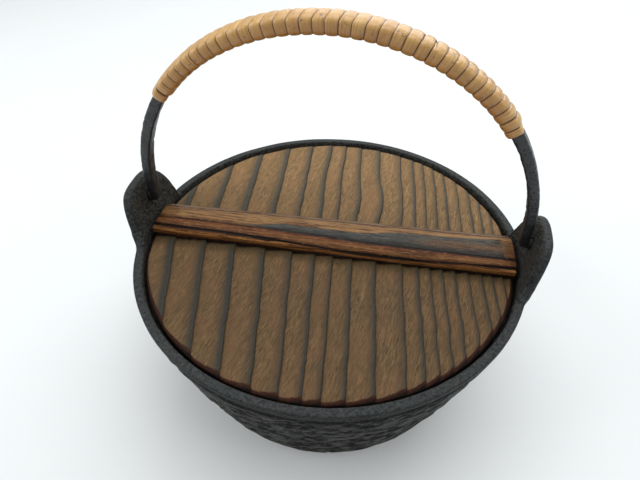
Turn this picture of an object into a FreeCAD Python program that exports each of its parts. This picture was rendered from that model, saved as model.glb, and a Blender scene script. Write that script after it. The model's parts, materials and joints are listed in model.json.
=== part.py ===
import FreeCAD, Part
import Sketcher
import math
import os

from FreeCAD import Placement, Rotation, Vector

# A cast-iron hanging pot: a tapering bowl with two ears, a cane-bound steel bail that swings in
# the ears, and a round wooden lid with a batten. Millimetres. The origin is the centre of the
# flat base, +Z is up, X runs from ear to ear, and the bail leans towards -Y.

doc = FreeCAD.newDocument("hanging_pot")

# ---------------------------------------------------------------------------------------------
# Driving dimensions
# ---------------------------------------------------------------------------------------------

DIMENSIONS = [
    # bowl
    ("rim_radius", 100.0),
    ("rim_height", 84.0),
    ("rim_flat", 4.2),
    ("band_radius", 99.0),
    ("band_height", 7.0),
    ("foot_radius", 77.0),
    ("foot_round", 8.0),
    ("wall_thick", 4.2),
    ("wall_curve", 900.0),
    ("floor_thick", 5.0),
    ("floor_round", 10.0),
    ("rim_round", 0.8),
    # ledge that the lid rests on
    ("seat_depth", 10.0),
    ("seat_radius", 94.8),
    ("seat_width", 3.5),
    ("seat_thick", 2.5),
    ("seat_taper", 3.5),
    # ears
    ("ear_rise", 25.5),
    ("ear_half_width", 22.5),
    ("ear_root", 12.0),
    ("ear_lean", 3.7),
    ("ear_thick_top", 4.7),
    ("ear_thick_rim", 5.6),
    # bail
    ("pivot_rise", 14.0),
    ("bail_lean", 6.5),
    ("arch_half_width", 93.7),
    ("arch_height", 97.3),
    ("arch_centre", 3.0),
    ("bar_thick", 5.0),
    ("bar_width", 6.5),
    ("bar_corner", 1.0),
    ("peg_radius", 2.4),
    ("peg_reach", 107.3),
    ("hole_play", 0.5),
    # cane
    ("cane_thick", 8.0),
    ("cane_width", 9.6),
    ("cane_corner", 2.2),
    ("cane_left", 52.8),
    ("cane_splice", 23.8),
    ("cane_right", 53.8),
    # lid board
    ("board_radius", 94.0),
    ("board_drop", 0.5),
    ("board_thick", 9.3),
    ("bevel_width", 1.7),
    ("bevel_height", 3.5),
    # batten
    ("batten_reach", 93.7),
    ("batten_side", 4.8),
    ("batten_crown", 3.4),
    ("batten_draft", 0.4),
    ("batten_left_half", 10.3),
    ("batten_right_half", 13.1),
    ("batten_left_middle", -3.9),
    ("batten_right_middle", 2.8),
    ("crown_left", 16.1),
    ("crown_right", 25.4),
    ("section_reach", 100.0),
    ("tongue_depth", 4.0),
    ("tongue_inset", 3.0),
    ("tongue_flare", 1.1),
    ("slope_start", 84.0),
    ("slope_fall", 4.6),
]

sheet = doc.addObject("Spreadsheet::Sheet", "dims")
for row, (alias, value) in enumerate(DIMENSIONS, start=1):
    sheet.set(f"A{row}", alias)
    sheet.set(f"B{row}", str(value))
    sheet.setAlias(f"B{row}", alias)
doc.recompute()


class Size:
    """A length, together with the spreadsheet expression that gives it."""

    def __init__(self, value, text):
        self.value = value
        self.text = text

    def __add__(self, other):
        other = as_size(other)
        return Size(self.value + other.value, f"({self.text} + {other.text})")

    def __sub__(self, other):
        other = as_size(other)
        return Size(self.value - other.value, f"({self.text} - {other.text})")

    def __mul__(self, other):
        other = as_size(other)
        return Size(self.value * other.value, f"({self.text} * {other.text})")

    def __truediv__(self, other):
        other = as_size(other)
        return Size(self.value / other.value, f"({self.text} / {other.text})")

    def __neg__(self):
        return Size(-self.value, f"(0 - {self.text})")


def as_size(value):
    return value if isinstance(value, Size) else Size(float(value), repr(float(value)))


def dim(alias):
    return Size(float(sheet.get(alias)), f"dims.{alias}")


ZERO = as_size(0)


# ---------------------------------------------------------------------------------------------
# Helpers for sketches and features
# ---------------------------------------------------------------------------------------------

def origin_plane(body, role):
    return next(item for item in body.Origin.OriginFeatures if item.Role == role)


def new_body(name):
    body = doc.addObject("PartDesign::Body", name)
    body.Label = name
    return body


def new_sketch(body, name, role, offset=ZERO):
    """A sketch on one of the body's origin planes, moved along the plane's normal."""
    sketch = body.newObject("Sketcher::SketchObject", name)
    sketch.AttachmentSupport = [(origin_plane(body, role), "")]
    sketch.MapMode = "FlatFace"
    sketch.setExpression("AttachmentOffset.Base.z", offset.text)
    return sketch


def bind(sketch, constraint, size):
    """Add a dimension to a sketch and tie it to the spreadsheet."""
    index = sketch.addConstraint(constraint)
    name = f"size{index}"
    sketch.renameConstraint(index, name)
    sketch.setExpression(f"Constraints.{name}", size.text)


def pin_point(sketch, curve, end, x, y):
    """Fix one end of a curve at the point x, y of the sketch."""
    bind(sketch, Sketcher.Constraint("DistanceX", -1, 1, curve, end, x.value), x)
    bind(sketch, Sketcher.Constraint("DistanceY", -1, 1, curve, end, y.value), y)


def arc_between(start, end, radius):
    """The arc from start to end that bulges to the right of the way from one to the other."""
    chord = end - start
    middle = (start + end) * 0.5
    right = Vector(chord.y, -chord.x, 0).normalize()
    sagitta = radius - math.sqrt(radius ** 2 - (chord.Length / 2) ** 2)
    return Part.Arc(start, middle + right * sagitta, end)


def draw_loop(sketch, corners, arcs=None):
    """Close a loop, anticlockwise, through the corners. arcs gives some edges a radius."""
    arcs = arcs or {}
    first = sketch.GeometryCount
    count = len(corners)
    spots = [Vector(x.value, y.value, 0) for x, y in corners]
    ends = []
    for number in range(count):
        start, end = spots[number], spots[(number + 1) % count]
        if number in arcs:
            curve = sketch.addGeometry(arc_between(start, end, arcs[number].value), False)
            forward = sketch.Geometry[curve].StartPoint.isEqual(start, 1e-5)
            ends.append((1, 2) if forward else (2, 1))
        else:
            sketch.addGeometry(Part.LineSegment(start, end), False)
            ends.append((1, 2))
    for number in range(count):
        following = (number + 1) % count
        join = (first + number, ends[number][1], first + following, ends[following][0])
        sketch.addConstraint(Sketcher.Constraint("Coincident", *join))
    for number, (x, y) in enumerate(corners):
        pin_point(sketch, first + number, ends[number][0], x, y)
        if number in arcs:
            radius = arcs[number]
            bind(sketch, Sketcher.Constraint("Radius", first + number, radius.value), radius)


def draw_circle(sketch, x, y, radius):
    circle = Part.Circle(Vector(x.value, y.value, 0), Vector(0, 0, 1), radius.value)
    curve = sketch.addGeometry(circle, False)
    pin_point(sketch, curve, 3, x, y)
    bind(sketch, Sketcher.Constraint("Radius", curve, radius.value), radius)


def rounded_rectangle(sketch, middle, width, height, corner):
    """A rectangle with round corners, centred on the sketch's X axis."""
    half_width, half_height = width / 2, height / 2
    flat_width, flat_height = half_width - corner, half_height - corner
    draw_loop(sketch, [
        (middle - flat_width, -half_height), (middle + flat_width, -half_height),
        (middle + half_width, -flat_height), (middle + half_width, flat_height),
        (middle + flat_width, half_height), (middle - flat_width, half_height),
        (middle - half_width, flat_height), (middle - half_width, -flat_height),
    ], {1: corner, 3: corner, 5: corner, 7: corner})


def revolve(body, name, sketch):
    feature = body.newObject("PartDesign::Revolution", name)
    feature.Profile = sketch
    feature.ReferenceAxis = (sketch, ["V_Axis"])
    feature.Angle = 360
    return feature


def pad(body, name, sketch, length):
    feature = body.newObject("PartDesign::Pad", name)
    feature.Profile = sketch
    feature.setExpression("Length", length.text)
    return feature


def pocket(body, name, sketch, length, backwards):
    """Cut a sketch out of a body, and make sure that the cut took something away."""
    doc.recompute()
    before = body.Shape.Volume
    feature = body.newObject("PartDesign::Pocket", name)
    feature.Profile = sketch
    feature.Reversed = backwards
    feature.setExpression("Length", length.text)
    doc.recompute()
    if body.Shape.Volume > before - 1:
        raise RuntimeError(f"{name} cut nothing")
    return feature


def round_edges(body, name, radius, wanted):
    """Fillet every edge of the body's tip for which wanted(edge) is true."""
    doc.recompute()
    base = body.Tip
    edges = [f"Edge{i}" for i, edge in enumerate(base.Shape.Edges, start=1) if wanted(edge)]
    feature = body.newObject("PartDesign::Fillet", name)
    feature.Base = (base, edges)
    feature.setExpression("Radius", radius.text)
    return feature


def is_ring(edge, radius, height):
    """True for a full circle about the Z axis with this radius at this height."""
    curve = edge.Curve
    if not isinstance(curve, Part.Circle):
        return False
    return abs(curve.Radius - radius.value) < 0.01 and abs(curve.Center.z - height.value) < 0.01


# ---------------------------------------------------------------------------------------------
# Bowl: one revolved profile, with a ledge inside for the lid
# ---------------------------------------------------------------------------------------------

rim_height = dim("rim_height")
rim_inner = dim("rim_radius") - dim("rim_flat")
seat_height = rim_height - dim("seat_depth")
seat_inner = dim("seat_radius") - dim("seat_width")
bead_height = seat_height - dim("seat_thick")
wall_height = bead_height - dim("seat_taper")
band_foot = rim_height - dim("band_height")
wall_slope = (dim("band_radius") - dim("foot_radius")) / band_foot
wall_inner_top = dim("foot_radius") + wall_slope * wall_height - dim("wall_thick")
wall_inner_foot = dim("foot_radius") + wall_slope * dim("floor_thick") - dim("wall_thick")

bowl = new_body("bowl")
bowl_profile = new_sketch(bowl, "bowl_profile", "XZ_Plane")
draw_loop(bowl_profile, [
    (ZERO, ZERO),
    (dim("foot_radius"), ZERO),
    (dim("band_radius"), band_foot),
    (dim("rim_radius"), rim_height),
    (rim_inner, rim_height),
    (dim("seat_radius"), seat_height),
    (seat_inner, seat_height),
    (seat_inner, bead_height),
    (wall_inner_top, wall_height),
    (wall_inner_foot, dim("floor_thick")),
    (ZERO, dim("floor_thick")),
], {1: dim("wall_curve")})
revolve(bowl, "bowl_turned", bowl_profile)
round_edges(bowl, "foot_rounded", dim("foot_round"),
            lambda edge: is_ring(edge, dim("foot_radius"), ZERO))
round_edges(bowl, "floor_rounded", dim("floor_round"),
            lambda edge: is_ring(edge, wall_inner_foot, dim("floor_thick")))
round_edges(bowl, "rim_rounded", dim("rim_round"),
            lambda edge: is_ring(edge, dim("rim_radius"), rim_height)
            or is_ring(edge, rim_inner, rim_height))


# ---------------------------------------------------------------------------------------------
# Ears: a leaning ring on the rim, kept only inside an oval seen along X
# ---------------------------------------------------------------------------------------------

ear_top = rim_height + dim("ear_rise") + 1
ear_inner_rim = rim_inner + 0.2
ear_inner_top = ear_inner_rim + dim("ear_lean")
ear_root_height = rim_height - dim("ear_root")

ear_ring = new_body("ear_ring")
ear_profile = new_sketch(ear_ring, "ear_profile", "XZ_Plane")
draw_loop(ear_profile, [
    (dim("seat_radius") + 1.5, ear_root_height),
    (dim("band_radius") - 1, ear_root_height),
    (ear_inner_rim + dim("ear_thick_rim"), rim_height),
    (ear_inner_top + dim("ear_thick_top"), ear_top),
    (ear_inner_top, ear_top),
    (ear_inner_rim, rim_height),
])
revolve(ear_ring, "ear_ring_turned", ear_profile)

ear_oval = doc.addObject("Part::Ellipse", "ear_oval")
ear_oval.setExpression("MajorRadius", "dims.ear_rise")
ear_oval.setExpression("MinorRadius", "dims.ear_half_width")
ear_oval.Placement = Placement(Vector(0, 0, rim_height.value), Rotation(Vector(0, 1, 0), -90))
ear_oval.setExpression("Placement.Base.z", rim_height.text)

ear_block = doc.addObject("Part::Extrusion", "ear_block")
ear_block.Base = ear_oval
ear_block.DirMode = "Custom"
ear_block.Dir = Vector(1, 0, 0)
ear_block.setExpression("LengthFwd", "dims.rim_radius * 1.2")
ear_block.setExpression("LengthRev", "dims.rim_radius * 1.2")
ear_block.Solid = True

ears = doc.addObject("Part::Common", "ears")
ears.Base = ear_ring
ears.Tool = ear_block

casting = doc.addObject("Part::MultiFuse", "casting")
casting.Shapes = [bowl, ears]

pivot_height = rim_height + dim("pivot_rise")
bail_drill = doc.addObject("Part::Cylinder", "bail_drill")
bail_drill.setExpression("Radius", "dims.peg_radius + dims.hole_play")
bail_drill.setExpression("Height", "dims.rim_radius * 2.4")
bail_drill.Placement = Placement(Vector(0, 0, 0), Rotation(Vector(0, 1, 0), 90))
bail_drill.setExpression("Placement.Base.x", "0 - dims.rim_radius * 1.2")
bail_drill.setExpression("Placement.Base.z", pivot_height.text)

pot_body = doc.addObject("Part::Cut", "pot_body")
pot_body.Label = "pot_body"
pot_body.Base = casting
pot_body.Tool = bail_drill


# ---------------------------------------------------------------------------------------------
# Bail: an elliptical arch of flat bar, with a round peg at each end. It is drawn upright with
# its pegs on the X axis, then lifted to the ear holes and leaned.
# ---------------------------------------------------------------------------------------------

arch_half = dim("arch_half_width")
arch_centre = dim("arch_centre")


def draw_arch(sketch):
    """The upper half of an ellipse that stands on its minor axis."""
    top = Vector(0, arch_centre.value + dim("arch_height").value, 0)
    side = Vector(arch_half.value, arch_centre.value, 0)
    middle = Vector(0, arch_centre.value, 0)
    ellipse = Part.Ellipse(top, side, middle)
    arch = sketch.addGeometry(Part.ArcOfEllipse(ellipse, -math.pi / 2, math.pi / 2), False)
    sketch.exposeInternalGeometry(arch)
    long_axis = arch + 1
    sketch.addConstraint(Sketcher.Constraint("Vertical", long_axis))
    bind(sketch, Sketcher.Constraint("Distance", long_axis, 2 * dim("arch_height").value),
         dim("arch_height") * 2)
    pin_point(sketch, arch, 3, ZERO, arch_centre)
    pin_point(sketch, arch, 1, arch_half, arch_centre)
    bind(sketch, Sketcher.Constraint("DistanceY", -1, 1, arch, 2, arch_centre.value),
         arch_centre)


def sweep_arch(body, name, draw_section):
    path = new_sketch(body, f"{name}_path", "XZ_Plane")
    draw_arch(path)
    section = new_sketch(body, f"{name}_section", "XY_Plane", arch_centre)
    draw_section(section)
    feature = body.newObject("PartDesign::AdditivePipe", name)
    feature.Profile = section
    feature.Spine = (path, ["Edge1"])
    return feature


def draw_bar(sketch):
    rounded_rectangle(sketch, arch_half, dim("bar_thick"), dim("bar_width"), dim("bar_corner"))


def seat_in_ears(part):
    """Lift a piece drawn about the peg axis to the ear holes, and lean it."""
    lean = dim("bail_lean")
    lift = Vector(0, 0, pivot_height.value)
    part.Placement = Placement(lift, Rotation(Vector(1, 0, 0), lean.value))
    part.setExpression("Placement.Base.z", pivot_height.text)
    part.setExpression("Placement.Rotation.Angle", f"{lean.text} * 1 deg")


bail = new_body("bail")
sweep_arch(bail, "bow", draw_bar)

leg_bottom = -(dim("peg_radius") + 0.2)
leg_section = new_sketch(bail, "leg_section", "XY_Plane", leg_bottom)
for middle in (arch_half, -arch_half):
    rounded_rectangle(leg_section, middle, dim("bar_thick"), dim("bar_width"),
                      dim("bar_corner"))
pad(bail, "legs", leg_section, arch_centre - leg_bottom)

peg_length = dim("peg_reach") - arch_half
for side, start in (("left", -dim("peg_reach")), ("right", arch_half)):
    peg_section = new_sketch(bail, f"{side}_peg_section", "YZ_Plane", start)
    draw_circle(peg_section, ZERO, ZERO, dim("peg_radius"))
    pad(bail, f"{side}_peg", peg_section, peg_length)
seat_in_ears(bail)


# ---------------------------------------------------------------------------------------------
# Cane: each strip is the round-cornered sleeve that its turns fill, from one angle of the arch
# to another. Angles are counted from the top of the arch, positive towards +X.
# ---------------------------------------------------------------------------------------------

def draw_sleeve(sketch):
    rounded_rectangle(sketch, arch_half, dim("cane_thick"), dim("cane_width"),
                      dim("cane_corner"))
    draw_bar(sketch)


cane_arch = new_body("cane_arch")
sweep_arch(cane_arch, "sleeve", draw_sleeve)


def arch_ray(angle):
    """The point where a ray from the arch's centre at this angle leaves the arch well behind."""
    reach = dim("arch_height") * 1.6
    across = reach * Size(math.sin(math.radians(angle.value)), f"sin({angle.text} * 1 deg)")
    up = reach * Size(math.cos(math.radians(angle.value)), f"cos({angle.text} * 1 deg)")
    return across, arch_centre + up


def cane_strip(name, first_angle, last_angle):
    wedge = new_body(f"{name}_wedge")
    wedge_section = new_sketch(wedge, f"{name}_wedge_section", "XZ_Plane", -dim("cane_width"))
    draw_loop(wedge_section, [(ZERO, arch_centre), arch_ray(last_angle), arch_ray(first_angle)])
    pad(wedge, f"{name}_wedge_pad", wedge_section, dim("cane_width") * 2)
    strip = doc.addObject("Part::Common", name)
    strip.Label = name
    strip.Base = cane_arch
    strip.Tool = wedge
    seat_in_ears(strip)
    return strip


cane_strip_long = cane_strip("cane_strip_long", -dim("cane_left"), dim("cane_splice"))
cane_strip_short = cane_strip("cane_strip_short", dim("cane_splice"), dim("cane_right"))


# ---------------------------------------------------------------------------------------------
# Lid: a turned board with a bevelled edge and a dovetail groove, and the crowned batten whose
# tongue fills the groove. Both taper from right to left.
# ---------------------------------------------------------------------------------------------

board_top = rim_height - dim("board_drop")
board_bottom = board_top - dim("board_thick")
groove_floor = board_top - dim("tongue_depth")

BATTEN_ENDS = [
    ("left", -dim("section_reach"), dim("batten_left_middle"), dim("batten_left_half"),
     dim("crown_left")),
    ("right", dim("section_reach"), dim("batten_right_middle"), dim("batten_right_half"),
     dim("crown_right")),
]


def tongue_corners(middle, half):
    """The dovetail, wider at the groove's floor than at the board's face."""
    neck = half - dim("tongue_inset")
    root = neck + dim("tongue_flare")
    return [(middle - neck, board_top), (middle - root, groove_floor),
            (middle + root, groove_floor), (middle + neck, board_top)]


lid_board = new_body("lid_board")
board_profile = new_sketch(lid_board, "board_profile", "XZ_Plane")
draw_loop(board_profile, [
    (ZERO, board_bottom),
    (dim("board_radius") - 1, board_bottom),
    (dim("board_radius"), board_bottom + 1),
    (dim("board_radius"), board_top - dim("bevel_height")),
    (dim("board_radius") - dim("bevel_width"), board_top),
    (ZERO, board_top),
])
revolve(lid_board, "board_turned", board_profile)

groove_sections = []
for side, place, middle, half, _ in BATTEN_ENDS:
    groove_section = new_sketch(lid_board, f"groove_{side}", "YZ_Plane", place)
    draw_loop(groove_section, tongue_corners(middle, half))
    groove_sections.append(groove_section)
doc.recompute()
board_volume = lid_board.Shape.Volume
groove = lid_board.newObject("PartDesign::SubtractiveLoft", "groove")
groove.Profile = groove_sections[0]
groove.Sections = groove_sections[1:]
groove.Ruled = True
doc.recompute()
if lid_board.Shape.Volume > board_volume - 1:
    raise RuntimeError("the groove cut nothing")

lid_batten = new_body("lid_batten")
batten_sections = []
for side, place, middle, half, crown in BATTEN_ENDS:
    batten_section = new_sketch(lid_batten, f"batten_{side}", "YZ_Plane", place)
    shoulder = half - dim("batten_draft")
    shoulder_height = board_top + dim("batten_side")
    draw_loop(batten_section, tongue_corners(middle, half) + [
        (middle + half, board_top),
        (middle + shoulder, shoulder_height),
        (middle - shoulder, shoulder_height),
        (middle - half, board_top),
    ], {5: crown})
    batten_sections.append(batten_section)
batten_bar = lid_batten.newObject("PartDesign::AdditiveLoft", "batten_bar")
batten_bar.Profile = batten_sections[0]
batten_bar.Sections = batten_sections[1:]
batten_bar.Ruled = True

end_trim = new_sketch(lid_batten, "end_trim", "XY_Plane", board_bottom)
draw_circle(end_trim, ZERO, ZERO, dim("batten_reach"))
draw_circle(end_trim, ZERO, ZERO, dim("batten_reach") * 1.3)
pocket(lid_batten, "ends_trimmed", end_trim, dim("rim_height"), True)

crown_height = board_top + dim("batten_side") + dim("batten_crown")
slope_section = new_sketch(lid_batten, "slope_section", "XZ_Plane", -dim("rim_height"))
slope_low = crown_height - dim("slope_fall")
slope_end = dim("batten_reach") + 1
draw_loop(slope_section, [
    (dim("slope_start"), crown_height + 0.2), (slope_end, slope_low),
    (slope_end, crown_height + 5), (dim("slope_start"), crown_height + 5),
])
draw_loop(slope_section, [
    (-slope_end, slope_low), (-dim("slope_start"), crown_height + 0.2),
    (-dim("slope_start"), crown_height + 5), (-slope_end, crown_height + 5),
])
pocket(lid_batten, "ends_sloped", slope_section, dim("rim_height") * 2, True)


# ---------------------------------------------------------------------------------------------
# Check every object, then write one file for each sub-part
# ---------------------------------------------------------------------------------------------

SUBPARTS = [pot_body, bail, cane_strip_long, cane_strip_short, lid_board, lid_batten]

doc.recompute()
for item in doc.Objects:
    if {"Invalid", "Error"} & set(item.State):
        raise RuntimeError(f"{item.Name} did not recompute: {item.State}")

os.makedirs("parts", exist_ok=True)
for subpart in SUBPARTS:
    shape = subpart.Shape
    if shape.isNull() or not shape.isValid() or len(shape.Solids) != 1:
        raise RuntimeError(f"{subpart.Label} is not one valid solid")
    shape.exportStep(f"parts/{subpart.Label}.step")
    print(subpart.Label, "volume", round(shape.Volume), "mm3")
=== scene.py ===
"""Looks of a small hanging pot: hammered cast iron, a scorched wooden lid and a cane-bound bail.

Every piece is built in millimetres in the frame's axes: origin in the middle of the base, +Z up,
X from ear to ear. Meshes are scaled to metres when they are made.
"""
import json
import math

import bmesh
import bpy
import numpy as np
from mathutils import Matrix, Vector, noise


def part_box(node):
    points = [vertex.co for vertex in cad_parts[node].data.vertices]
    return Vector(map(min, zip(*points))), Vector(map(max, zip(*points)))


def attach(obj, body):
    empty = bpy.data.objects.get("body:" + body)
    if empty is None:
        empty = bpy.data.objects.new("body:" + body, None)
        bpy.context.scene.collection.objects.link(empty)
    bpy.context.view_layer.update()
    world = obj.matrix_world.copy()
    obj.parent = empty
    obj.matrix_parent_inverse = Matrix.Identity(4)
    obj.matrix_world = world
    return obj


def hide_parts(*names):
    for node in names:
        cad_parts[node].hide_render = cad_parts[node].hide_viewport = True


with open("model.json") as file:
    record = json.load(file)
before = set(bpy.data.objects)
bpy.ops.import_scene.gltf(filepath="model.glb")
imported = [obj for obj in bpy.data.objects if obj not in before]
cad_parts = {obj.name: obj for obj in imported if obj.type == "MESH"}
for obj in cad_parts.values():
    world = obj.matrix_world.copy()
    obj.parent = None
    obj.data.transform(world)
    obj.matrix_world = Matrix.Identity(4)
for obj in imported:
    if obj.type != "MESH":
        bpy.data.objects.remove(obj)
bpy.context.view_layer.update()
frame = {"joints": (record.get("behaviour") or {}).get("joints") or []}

MM = 0.001


def node_box(node):
    low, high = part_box(node)
    return np.array(low) / MM, np.array(high) / MM


_, pot_high = node_box("pot_body")
board_low, board_high = node_box("lid_board")
_, batten_high = node_box("lid_batten")
_, bail_high = node_box("bail")
hinge = next(joint for joint in frame["joints"] if joint["type"] == "hinge")
PIVOT_HEIGHT = hinge["pos_m"][2] / MM

# Pot
RIM_RADIUS = pot_high[1] - 0.1
BOARD_INSET = 0.5
RIM_HEIGHT = board_high[2] + BOARD_INSET
RIM_FLAT = 4.2
FOOT_RADIUS = 77.0
FOOT_ROUND = 5.8
BAND_FOOT = RIM_HEIGHT - 7.0
BAND_RADIUS = RIM_RADIUS - 1.0
WALL_BELLY = 0.9
FLOOR_THICK = 5.0
SEAT_DEPTH = 10.0
SEAT_RADIUS = 94.8
SEAT_WIDTH = 3.5
EAR_RISE = pot_high[2] - RIM_HEIGHT
EAR_HALF = 22.5
EAR_ROOT = 12.0
EAR_PROUD = 1.6
EAR_FLARE = 2.8
EAR_INNER_FLARE = 3.7
FLOOR_CURVE = 9.0
HOLE_RADIUS = 2.9

# Bail and cane
LEAN = math.radians(6.5)
ARCH_HALF = 93.7
ARCH_HEIGHT = 97.3
ARCH_CENTRE = 3.0
BAR_HALF_THICK = 2.5
BAR_HALF_WIDTH = 3.25
PEG_RADIUS = 2.4
CANE_HALF_THICK = 4.0
CANE_HALF_WIDTH = 4.8
CANE_PITCH = 4.75

# Lid
BOARD_RADIUS = board_high[0]
BOARD_TOP = board_high[2]
BOARD_BOTTOM = board_low[2]
BATTEN_REACH = batten_high[0]
BATTEN_TOP = batten_high[2]
BATTEN_SIDE = 4.8
BATTEN_SINK = 1.9
BATTEN_FRONT_SHARE, BATTEN_BACK_SHARE = 0.22, 0.14
BATTEN_BANDS = 6


# ---------------------------------------------------------------------------------------------
# Shape helpers
# ---------------------------------------------------------------------------------------------

def smooth(low, high, value):
    """0 below low, 1 above high, and a smooth step between. Falls if low is above high."""
    share = np.clip((value - low) / (high - low), 0, 1)
    return share * share * (3 - 2 * share)


def bell(value, width):
    return np.exp(-(value / width) ** 2)


def fractal(points, size, octaves=3, seed=0.0):
    """Fractal noise at each point, about -1 to 1, with features of this size in mm."""
    places = (np.asarray(points) / size + seed * 17.3).reshape(-1, 3)
    values = [noise.fractal(place, 1.0, 2.0, octaves) for place in places.tolist()]
    return np.array(values).reshape(np.shape(points)[:-1])


def wander(value, size, seed=0.0, octaves=2):
    """Noise along a line."""
    value = np.asarray(value, float)
    points = np.stack([value, np.full_like(value, 3.7 * seed), np.zeros_like(value)], -1)
    return fractal(points, size, octaves, seed)


def running_total(steps):
    """0, and then the sum of the steps so far."""
    return np.concatenate([[0], np.cumsum(steps)])


def spread(count, fine, density, endpoint=True):
    """So many of the fine values, closest together where the density is greatest."""
    total = running_total((density[1:] + density[:-1]) / 2)
    return np.interp(np.linspace(0, total[-1], count, endpoint=endpoint), total, fine)


def grid_quads(rows, columns, close_columns=False):
    """The faces of a grid whose vertices are numbered row by row."""
    row = np.arange(rows - 1)
    column = np.arange(columns if close_columns else columns - 1)
    row, column = np.meshgrid(row, column, indexing="ij")
    next_row, next_column = (row + 1) % rows, (column + 1) % columns
    quads = [row * columns + column, row * columns + next_column,
             next_row * columns + next_column, next_row * columns + column]
    return np.stack(quads, -1).reshape(-1, 4).tolist()


def fan(loop, centre):
    """Triangles from every edge of a closed loop of vertices to a middle one."""
    return [[a, b, centre] for a, b in zip(loop, loop[1:] + loop[:1])]


def make_mesh(name, vertices, faces, values=None):
    """A closed smooth mesh with outward faces. values gives its vertices named numbers."""
    mesh = bpy.data.meshes.new(name)
    mesh.from_pydata((np.asarray(vertices) * MM).tolist(), [], faces)
    shape = bmesh.new()
    shape.from_mesh(mesh)
    bmesh.ops.recalc_face_normals(shape, faces=shape.faces)
    shape.to_mesh(mesh)
    shape.free()
    mesh.shade_smooth()
    for title, numbers in (values or {}).items():
        attribute = mesh.attributes.new(title, "FLOAT", "POINT")
        attribute.data.foreach_set("value", np.asarray(numbers, np.float32).ravel())
    return mesh


def make_piece(mesh, material, body, slot, *nodes):
    piece = bpy.data.objects.new(mesh.name, mesh)
    bpy.context.scene.collection.objects.link(piece)
    mesh.materials.clear()
    mesh.materials.append(material)
    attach(piece, body)
    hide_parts(*nodes)
    return piece


# ---------------------------------------------------------------------------------------------
# Materials
# ---------------------------------------------------------------------------------------------

class Paint:
    """A material and its node tree, which works in millimetres of the piece's own axes."""

    def __init__(self, name, **constants):
        self.material = bpy.data.materials.new(name)
        self.material.use_nodes = True
        self.tree = self.material.node_tree
        self.shader = self.tree.nodes["Principled BSDF"]
        for socket, value in constants.items():
            self.shader.inputs[socket.replace("_", " ")].default_value = value

    def feed(self, socket, value):
        if isinstance(value, bpy.types.NodeSocket):
            self.tree.links.new(value, socket)
        elif isinstance(value, tuple) and len(value) == 3 and socket.type == "RGBA":
            socket.default_value = (*value, 1)
        else:
            socket.default_value = value

    def add(self, kind, inputs, **settings):
        node = self.tree.nodes.new(f"ShaderNode{kind}")
        for name, value in settings.items():
            setattr(node, name, value)
        for socket, value in inputs.items():
            self.feed(node.inputs[socket], value)
        return node

    def value(self, name):
        """A number that the mesh holds at each vertex."""
        return self.add("Attribute", {}, attribute_name=name).outputs["Fac"]

    def place(self, stretch=(1, 1, 1), turn=0.0):
        """Where on the piece, in mm. A pattern in it is longer along an axis with a big stretch."""
        coordinates = self.add("TexCoord", {}).outputs["Object"]
        turned = self.add("VectorRotate", {"Vector": coordinates, "Angle": turn},
                          rotation_type="Z_AXIS").outputs[0]
        scale = tuple(1 / (MM * s) for s in stretch)
        return self.add("Mapping", {"Vector": turned, "Scale": scale},
                        vector_type="POINT").outputs[0]

    def join(self, x, y, z=0.0):
        return self.add("CombineXYZ", {"X": x, "Y": y, "Z": z}).outputs[0]

    def noise(self, place, size, detail=3.0, roughness=0.55):
        inputs = {"Vector": place, "Scale": 1 / size, "Detail": detail, "Roughness": roughness}
        return self.add("TexNoise", inputs).outputs["Fac"]

    def cells(self, place, size):
        return self.add("TexVoronoi", {"Vector": place, "Scale": 1 / size}).outputs["Distance"]

    def math(self, operation, a, b=0.0):
        return self.add("Math", {0: a, 1: b}, operation=operation).outputs[0]

    def step(self, value, low, high, start=0.0, end=1.0):
        inputs = {"Value": value, "From Min": low, "From Max": high, "To Min": start, "To Max": end}
        return self.add("MapRange", inputs, interpolation_type="SMOOTHSTEP").outputs[0]

    def mix(self, share, a, b, blend="MIX"):
        node = self.add("Mix", {0: share, 6: a, 7: b}, data_type="RGBA", blend_type=blend)
        return node.outputs[2]

    def ramp(self, value, stops):
        node = self.add("ValToRGB", {"Fac": value})
        ramp = node.color_ramp
        while len(ramp.elements) < len(stops):
            ramp.elements.new(0.5)
        for element, (position, colour) in zip(ramp.elements, stops):
            element.position = position
            element.color = (*colour, 1)
        return node.outputs["Color"]

    def bump(self, *layers):
        """Bumps from (height, depth in mm) pairs, the finest first."""
        normal = None
        for height, depth in layers:
            inputs = {"Height": height, "Distance": depth * MM, "Strength": 1.0}
            if normal is not None:
                inputs["Normal"] = normal
            normal = self.add("Bump", inputs).outputs[0]
        self.feed(self.shader.inputs["Normal"], normal)

    def finish(self, colour, roughness):
        self.feed(self.shader.inputs["Base Color"], colour)
        self.feed(self.shader.inputs["Roughness"], roughness)
        return self.material


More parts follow.
